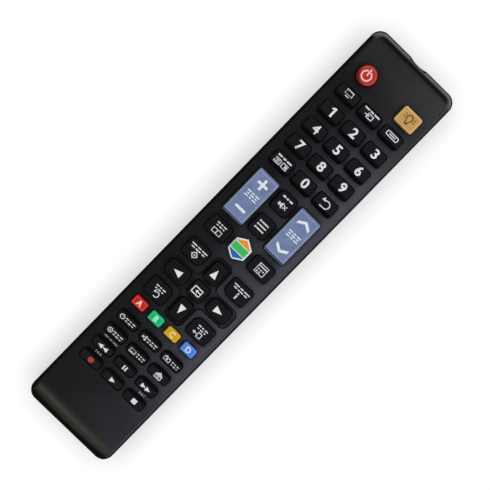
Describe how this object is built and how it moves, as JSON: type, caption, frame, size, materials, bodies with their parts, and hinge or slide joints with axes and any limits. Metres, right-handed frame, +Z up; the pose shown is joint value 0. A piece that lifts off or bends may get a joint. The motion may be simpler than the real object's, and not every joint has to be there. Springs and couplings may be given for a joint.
{
  "type": "tv remote control",
  "caption": "Bar-shaped television remote control with press keys, two rocker keys, a cross pad, an infrared window and a sliding battery lid on the back.",
  "frame": {"origin": "on the rest plane, under the middle of the casing", "axes": "+Y towards the head that is pointed at the set, +X to the right across the face, +Z up out of the face"},
  "size_m": [0.0434, 0.203, 0.0219],
  "materials": {
    "casing_black": "fine matte texture",
    "key_black": "satin",
    "power_red": "satin",
    "light_amber": "satin",
    "signal_red": "satin",
    "signal_green": "satin",
    "signal_yellow": "satin",
    "signal_blue": "satin",
    "rocker_blue": "satin",
    "window_dark": "gloss, dark tint",
    "board_green": "lacquered",
    "mat_grey": "matt",
    "emitter_clear": "clear tint",
    "cell_jacket": "printed jacket with bright ends",
    "contact_steel": "nickel plated",
    "component_black": "moulded"
  },
  "bodies": {
    "casing": {"front_shell": "casing_black", "back_shell": "casing_black", "ir_window": "window_dark", "circuit_board": "board_green", "keypad_mat": "mat_grey", "ir_emitters": "emitter_clear", "battery_cells": "cell_jacket", "spring_contacts": "contact_steel", "plate_contacts": "contact_steel", "board_components": "component_black"},
    "battery_lid": {"battery_lid": "casing_black"},
    "key_volume": {"key_volume": "rocker_blue"},
    "key_channel": {"key_channel": "rocker_blue"},
    "key_power": {"key_power": "power_red"},
    "key_light": {"key_light": "light_amber"},
    "key_enter": {"key_enter": "key_black"},
    "key_up": {"key_up": "key_black"},
    "key_down": {"key_down": "key_black"},
    "key_left": {"key_left": "key_black"},
    "key_right": {"key_right": "key_black"},
    "key_home": {"key_home": "key_black"},
    "key_mute": {"key_mute": "key_black"},
    "key_channel_list": {"key_channel_list": "key_black"},
    "key_menu": {"key_menu": "key_black"},
    "key_guide": {"key_guide": "key_black"},
    "key_tools": {"key_tools": "key_black"},
    "key_info": {"key_info": "key_black"},
    "key_return": {"key_return": "key_black"},
    "key_exit": {"key_exit": "key_black"},
    "key_red": {"key_red": "signal_red"},
    "key_green": {"key_green": "signal_green"},
    "key_yellow": {"key_yellow": "signal_yellow"},
    "key_blue": {"key_blue": "signal_blue"},
    "key_1": {"key_1": "key_black"},
    "key_2": {"key_2": "key_black"},
    "key_3": {"key_3": "key_black"},
    "key_5": {"key_5": "key_black"},
    "key_0": {"key_0": "key_black"},
    "key_play": {"key_play": "key_black"},
    "key_4": {"key_4": "key_black"},
    "key_6": {"key_6": "key_black"},
    "key_7": {"key_7": "key_black"},
    "key_8": {"key_8": "key_black"},
    "key_9": {"key_9": "key_black"},
    "key_tv": {"key_tv": "key_black"},
    "key_source": {"key_source": "key_black"},
    "key_input": {"key_input": "key_black"},
    "key_text": {"key_text": "key_black"},
    "key_previous": {"key_previous": "key_black"},
    "key_history": {"key_history": "key_black"},
    "key_share": {"key_share": "key_black"},
    "key_camera": {"key_camera": "key_black"},
    "key_support": {"key_support": "key_black"},
    "key_subtitle": {"key_subtitle": "key_black"},
    "key_social": {"key_social": "key_black"},
    "key_rewind": {"key_rewind": "key_black"},
    "key_pause": {"key_pause": "key_black"},
    "key_forward": {"key_forward": "key_black"},
    "key_record": {"key_record": "key_black"},
    "key_stop": {"key_stop": "key_black"}
  },
  "joints": [
    {"name": "battery_lid_slide", "type": "slide", "parent": "casing", "child": "battery_lid", "axis": [0, -1, 0], "range_m": [0, 0.0745]},
    {"name": "key_volume_tilt", "type": "hinge", "parent": "casing", "child": "key_volume", "pos_m": [-0.01128, 0.01715, 0.019], "axis": [1, 0, 0], "range_deg": [-4, 4], "stiffness_Nm_per_rad": 0.1},
    {"name": "key_channel_tilt", "type": "hinge", "parent": "casing", "child": "key_channel", "pos_m": [0.01128, 0.01715, 0.019], "axis": [1, 0, 0], "range_deg": [-4, 4], "stiffness_Nm_per_rad": 0.1},
    {"name": "key_power_press", "type": "slide", "parent": "casing", "child": "key_power", "axis": [0, 0, -1], "range_m": [0, 0.001], "stiffness_N_per_m": 1000, "springref_m": -0.0004},
    {"name": "key_light_press", "type": "slide", "parent": "casing", "child": "key_light", "axis": [0, 0, -1], "range_m": [0, 0.001], "stiffness_N_per_m": 1000, "springref_m": -0.0004},
    {"name": "key_enter_press", "type": "slide", "parent": "casing", "child": "key_enter", "axis": [0, 0, -1], "range_m": [0, 0.001], "stiffness_N_per_m": 1000, "springref_m": -0.0004},
    {"name": "key_up_press", "type": "slide", "parent": "casing", "child": "key_up", "axis": [0, 0, -1], "range_m": [0, 0.001], "stiffness_N_per_m": 1000, "springref_m": -0.0004},
    {"name": "key_down_press", "type": "slide", "parent": "casing", "child": "key_down", "axis": [0, 0, -1], "range_m": [0, 0.001], "stiffness_N_per_m": 1000, "springref_m": -0.0004},
    {"name": "key_left_press", "type": "slide", "parent": "casing", "child": "key_left", "axis": [0, 0, -1], "range_m": [0, 0.001], "stiffness_N_per_m": 1000, "springref_m": -0.0004},
    {"name": "key_right_press", "type": "slide", "parent": "casing", "child": "key_right", "axis": [0, 0, -1], "range_m": [0, 0.001], "stiffness_N_per_m": 1000, "springref_m": -0.0004},
    {"name": "key_home_press", "type": "slide", "parent": "casing", "child": "key_home", "axis": [0, 0, -1], "range_m": [0, 0.001], "stiffness_N_per_m": 1000, "springref_m": -0.0004},
    {"name": "key_mute_press", "type": "slide", "parent": "casing", "child": "key_mute", "axis": [0, 0, -1], "range_m": [0, 0.001], "stiffness_N_per_m": 1000, "springref_m": -0.0004},
    {"name": "key_channel_list_press", "type": "slide", "parent": "casing", "child": "key_channel_list", "axis": [0, 0, -1], "range_m": [0, 0.001], "stiffness_N_per_m": 1000, "springref_m": -0.0004},
    {"name": "key_menu_press", "type": "slide", "parent": "casing", "child": "key_menu", "axis": [0, 0, -1], "range_m": [0, 0.001], "stiffness_N_per_m": 1000, "springref_m": -0.0004},
    {"name": "key_guide_press", "type": "slide", "parent": "casing", "child": "key_guide", "axis": [0, 0, -1], "range_m": [0, 0.001], "stiffness_N_per_m": 1000, "springref_m": -0.0004},
    {"name": "key_tools_press", "type": "slide", "parent": "casing", "child": "key_tools", "axis": [0, 0, -1], "range_m": [0, 0.001], "stiffness_N_per_m": 1000, "springref_m": -0.0004},
    {"name": "key_info_press", "type": "slide", "parent": "casing", "child": "key_info", "axis": [0, 0, -1], "range_m": [0, 0.001], "stiffness_N_per_m": 1000, "springref_m": -0.0004},
    {"name": "key_return_press", "type": "slide", "parent": "casing", "child": "key_return", "axis": [0, 0, -1], "range_m": [0, 0.001], "stiffness_N_per_m": 1000, "springref_m": -0.0004},
    {"name": "key_exit_press", "type": "slide", "parent": "casing", "child": "key_exit", "axis": [0, 0, -1], "range_m": [0, 0.001], "stiffness_N_per_m": 1000, "springref_m": -0.0004},
    {"name": "key_red_press", "type": "slide", "parent": "casing", "child": "key_red", "axis": [0, 0, -1], "range_m": [0, 0.001], "stiffness_N_per_m": 1000, "springref_m": -0.0004},
    {"name": "key_green_press", "type": "slide", "parent": "casing", "child": "key_green", "axis": [0, 0, -1], "range_m": [0, 0.001], "stiffness_N_per_m": 1000, "springref_m": -0.0004},
    {"name": "key_yellow_press", "type": "slide", "parent": "casing", "child": "key_yellow", "axis": [0, 0, -1], "range_m": [0, 0.001], "stiffness_N_per_m": 1000, "springref_m": -0.0004},
    {"name": "key_blue_press", "type": "slide", "parent": "casing", "child": "key_blue", "axis": [0, 0, -1], "range_m": [0, 0.001], "stiffness_N_per_m": 1000, "springref_m": -0.0004},
    {"name": "key_1_press", "type": "slide", "parent": "casing", "child": "key_1", "axis": [0, 0, -1], "range_m": [0, 0.001], "stiffness_N_per_m": 1000, "springref_m": -0.0004},
    {"name": "key_2_press", "type": "slide", "parent": "casing", "child": "key_2", "axis": [0, 0, -1], "range_m": [0, 0.001], "stiffness_N_per_m": 1000, "springref_m": -0.0004},
    {"name": "key_3_press", "type": "slide", "parent": "casing", "child": "key_3", "axis": [0, 0, -1], "range_m": [0, 0.001], "stiffness_N_per_m": 1000, "springref_m": -0.0004},
    {"name": "key_5_press", "type": "slide", "parent": "casing", "child": "key_5", "axis": [0, 0, -1], "range_m": [0, 0.001], "stiffness_N_per_m": 1000, "springref_m": -0.0004},
    {"name": "key_0_press", "type": "slide", "parent": "casing", "child": "key_0", "axis": [0, 0, -1], "range_m": [0, 0.001], "stiffness_N_per_m": 1000, "springref_m": -0.0004},
    {"name": "key_play_press", "type": "slide", "parent": "casing", "child": "key_play", "axis": [0, 0, -1], "range_m": [0, 0.001], "stiffness_N_per_m": 1000, "springref_m": -0.0004},
    {"name": "key_4_press", "type": "slide", "parent": "casing", "child": "key_4", "axis": [0, 0, -1], "range_m": [0, 0.001], "stiffness_N_per_m": 1000, "springref_m": -0.0004},
    {"name": "key_6_press", "type": "slide", "parent": "casing", "child": "key_6", "axis": [0, 0, -1], "range_m": [0, 0.001], "stiffness_N_per_m": 1000, "springref_m": -0.0004},
    {"name": "key_7_press", "type": "slide", "parent": "casing", "child": "key_7", "axis": [0, 0, -1], "range_m": [0, 0.001], "stiffness_N_per_m": 1000, "springref_m": -0.0004},
    {"name": "key_8_press", "type": "slide", "parent": "casing", "child": "key_8", "axis": [0, 0, -1], "range_m": [0, 0.001], "stiffness_N_per_m": 1000, "springref_m": -0.0004},
    {"name": "key_9_press", "type": "slide", "parent": "casing", "child": "key_9", "axis": [0, 0, -1], "range_m": [0, 0.001], "stiffness_N_per_m": 1000, "springref_m": -0.0004},
    {"name": "key_tv_press", "type": "slide", "parent": "casing", "child": "key_tv", "axis": [0, 0, -1], "range_m": [0, 0.001], "stiffness_N_per_m": 1000, "springref_m": -0.0004},
    {"name": "key_source_press", "type": "slide", "parent": "casing", "child": "key_source", "axis": [0, 0, -1], "range_m": [0, 0.001], "stiffness_N_per_m": 1000, "springref_m": -0.0004},
    {"name": "key_input_press", "type": "slide", "parent": "casing", "child": "key_input", "axis": [0, 0, -1], "range_m": [0, 0.001], "stiffness_N_per_m": 1000, "springref_m": -0.0004},
    {"name": "key_text_press", "type": "slide", "parent": "casing", "child": "key_text", "axis": [0, 0, -1], "range_m": [0, 0.001], "stiffness_N_per_m": 1000, "springref_m": -0.0004},
    {"name": "key_previous_press", "type": "slide", "parent": "casing", "child": "key_previous", "axis": [0, 0, -1], "range_m": [0, 0.001], "stiffness_N_per_m": 1000, "springref_m": -0.0004},
    {"name": "key_history_press", "type": "slide", "parent": "casing", "child": "key_history", "axis": [0, 0, -1], "range_m": [0, 0.001], "stiffness_N_per_m": 1000, "springref_m": -0.0004},
    {"name": "key_share_press", "type": "slide", "parent": "casing", "child": "key_share", "axis": [0, 0, -1], "range_m": [0, 0.001], "stiffness_N_per_m": 1000, "springref_m": -0.0004},
    {"name": "key_camera_press", "type": "slide", "parent": "casing", "child": "key_camera", "axis": [0, 0, -1], "range_m": [0, 0.001], "stiffness_N_per_m": 1000, "springref_m": -0.0004},
    {"name": "key_support_press", "type": "slide", "parent": "casing", "child": "key_support", "axis": [0, 0, -1], "range_m": [0, 0.001], "stiffness_N_per_m": 1000, "springref_m": -0.0004},
    {"name": "key_subtitle_press", "type": "slide", "parent": "casing", "child": "key_subtitle", "axis": [0, 0, -1], "range_m": [0, 0.001], "stiffness_N_per_m": 1000, "springref_m": -0.0004},
    {"name": "key_social_press", "type": "slide", "parent": "casing", "child": "key_social", "axis": [0, 0, -1], "range_m": [0, 0.001], "stiffness_N_per_m": 1000, "springref_m": -0.0004},
    {"name": "key_rewind_press", "type": "slide", "parent": "casing", "child": "key_rewind", "axis": [0, 0, -1], "range_m": [0, 0.001], "stiffness_N_per_m": 1000, "springref_m": -0.0004},
    {"name": "key_pause_press", "type": "slide", "parent": "casing", "child": "key_pause", "axis": [0, 0, -1], "range_m": [0, 0.001], "stiffness_N_per_m": 1000, "springref_m": -0.0004},
    {"name": "key_forward_press", "type": "slide", "parent": "casing", "child": "key_forward", "axis": [0, 0, -1], "range_m": [0, 0.001], "stiffness_N_per_m": 1000, "springref_m": -0.0004},
    {"name": "key_record_press", "type": "slide", "parent": "casing", "child": "key_record", "axis": [0, 0, -1], "range_m": [0, 0.001], "stiffness_N_per_m": 1000, "springref_m": -0.0004},
    {"name": "key_stop_press", "type": "slide", "parent": "casing", "child": "key_stop", "axis": [0, 0, -1], "range_m": [0, 0.001], "stiffness_N_per_m": 1000, "springref_m": -0.0004}
  ]
}
